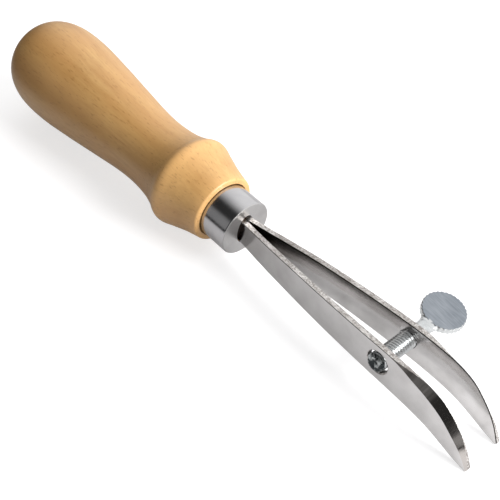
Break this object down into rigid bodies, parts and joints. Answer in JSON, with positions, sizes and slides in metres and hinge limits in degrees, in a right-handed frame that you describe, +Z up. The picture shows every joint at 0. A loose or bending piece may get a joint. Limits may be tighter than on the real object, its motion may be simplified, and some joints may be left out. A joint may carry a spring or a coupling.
{
  "type": "adjustable leather edge creaser",
  "caption": "Leather edge creaser: turned wood handle, steel ferrule and two sprung blades with beaked tips, drawn together by a thumb screw.",
  "frame": {"origin": "middle of the tool's footprint, on the table that it lies on", "axes": "+X along the tool towards the blade tips, +Y across the blades towards the thumb screw's head, +Z up from the table"},
  "size_m": [0.1784, 0.0388, 0.0316],
  "materials": {
    "turned_beech": "satin",
    "polished_steel": "polished",
    "spring_steel": "satin",
    "zinc_plated_steel": "satin",
    "epoxy": "satin"
  },
  "bodies": {
    "handle_body": {"handle": "turned_beech", "ferrule": "polished_steel", "tang_adhesive": "epoxy", "near_blade_tang": "spring_steel", "far_blade_tang": "spring_steel"},
    "near_blade_body": {"near_blade": "spring_steel"},
    "far_blade_body": {"far_blade": "spring_steel"},
    "screw_body": {"thumb_screw": "zinc_plated_steel"}
  },
  "joints": [
    {"name": "near_blade_flex", "type": "hinge", "parent": "handle_body", "child": "near_blade_body", "pos_m": [0.0157, -0.0066, 0.01158], "axis": [0.0593, 0, 0.9982], "range_deg": [-0.67, 3.52]},
    {"name": "far_blade_flex", "type": "hinge", "parent": "handle_body", "child": "far_blade_body", "pos_m": [0.0157, -0.00283, 0.01158], "axis": [-0.0593, 0, -0.9982], "range_deg": [-0.67, 3.52]},
    {"name": "screw_turn", "type": "hinge", "parent": "far_blade_body", "child": "screw_body", "pos_m": [0.05997, -0.00471, 0.01136], "axis": [0, -1, 0], "range_deg": [-450, 2430]}
  ],
  "couplings": [
    {"joint": "near_blade_flex", "follows": "screw_turn", "ratio": 0.0014403},
    {"joint": "far_blade_flex", "follows": "screw_turn", "ratio": 0.0014403}
  ]
}
